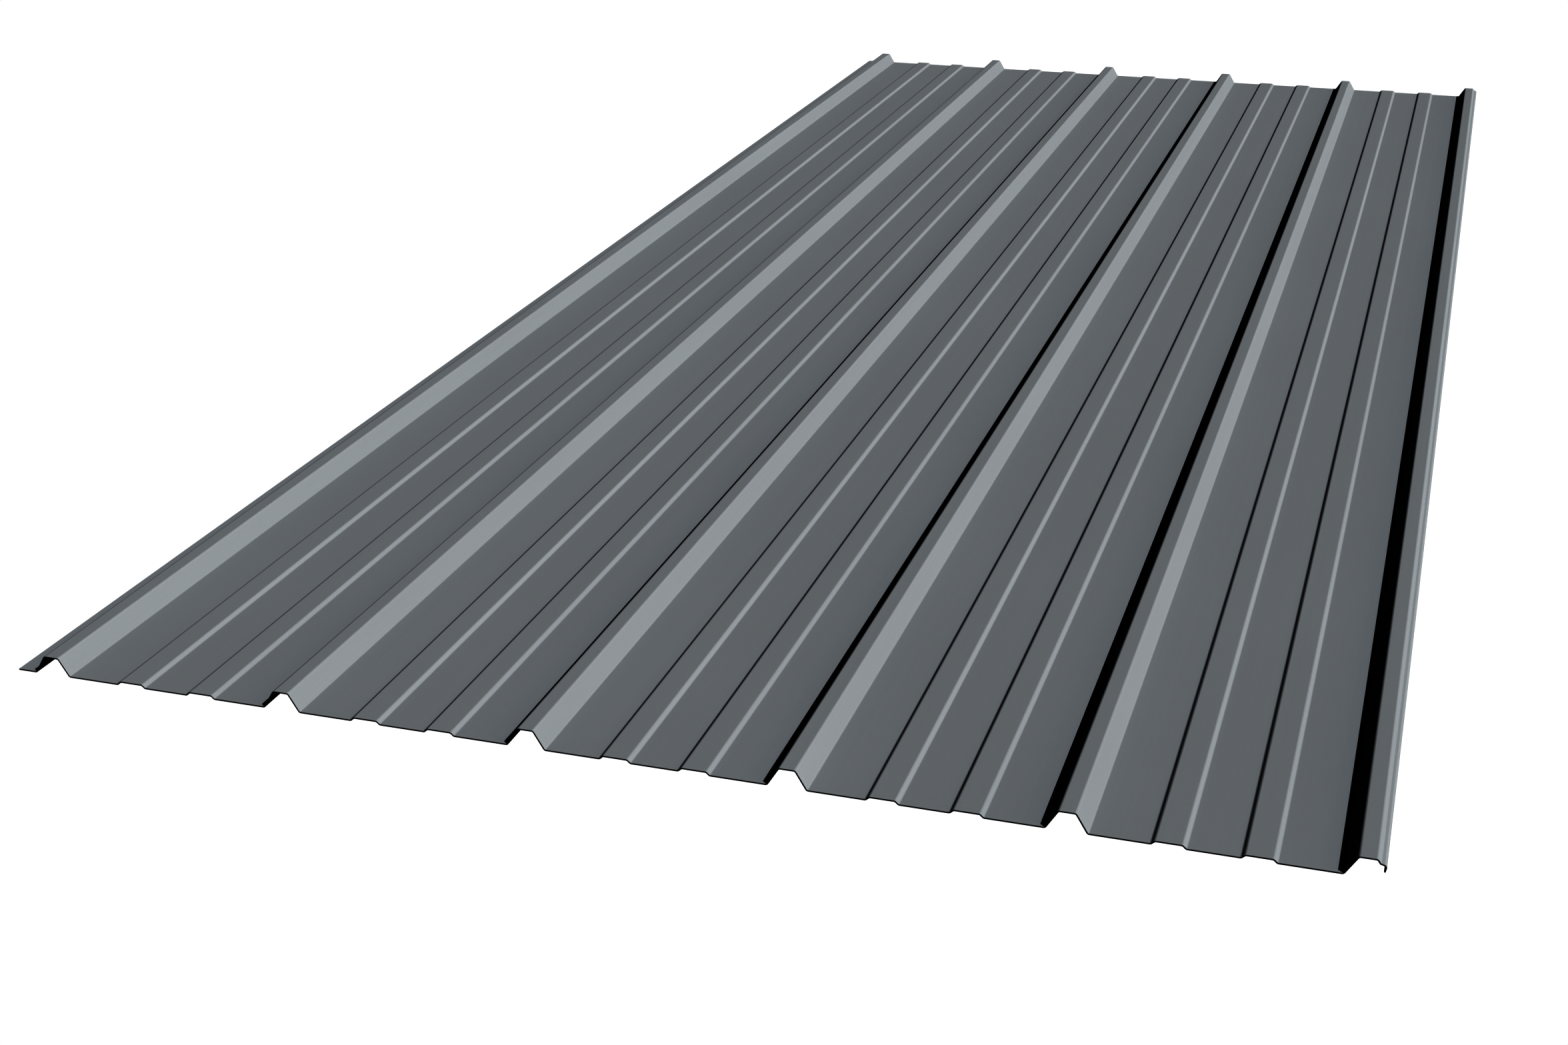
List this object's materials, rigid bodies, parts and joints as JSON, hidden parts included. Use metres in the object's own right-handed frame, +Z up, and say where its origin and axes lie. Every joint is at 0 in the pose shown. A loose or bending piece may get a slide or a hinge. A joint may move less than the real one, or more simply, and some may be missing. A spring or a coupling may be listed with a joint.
{
  "type": "corrugated metal sheet",
  "caption": "Roll-formed coated steel sheet with trapezoid ribs, flat pans with low stiffening ribs and lapping side edges, for covering roofs and walls.",
  "frame": {"origin": "middle of the sheet's box, on the underside of the pans that it lies on", "axes": "+X across the ribs from the underlap flange to the overlap lip, +Y along the ribs, +Z up"},
  "size_m": [1.043, 2.54, 0.0153],
  "materials": {
    "coated_steel": "matte"
  },
  "bodies": {
    "root": {"corrugated_sheet": "coated_steel"}
  },
  "joints": []
}
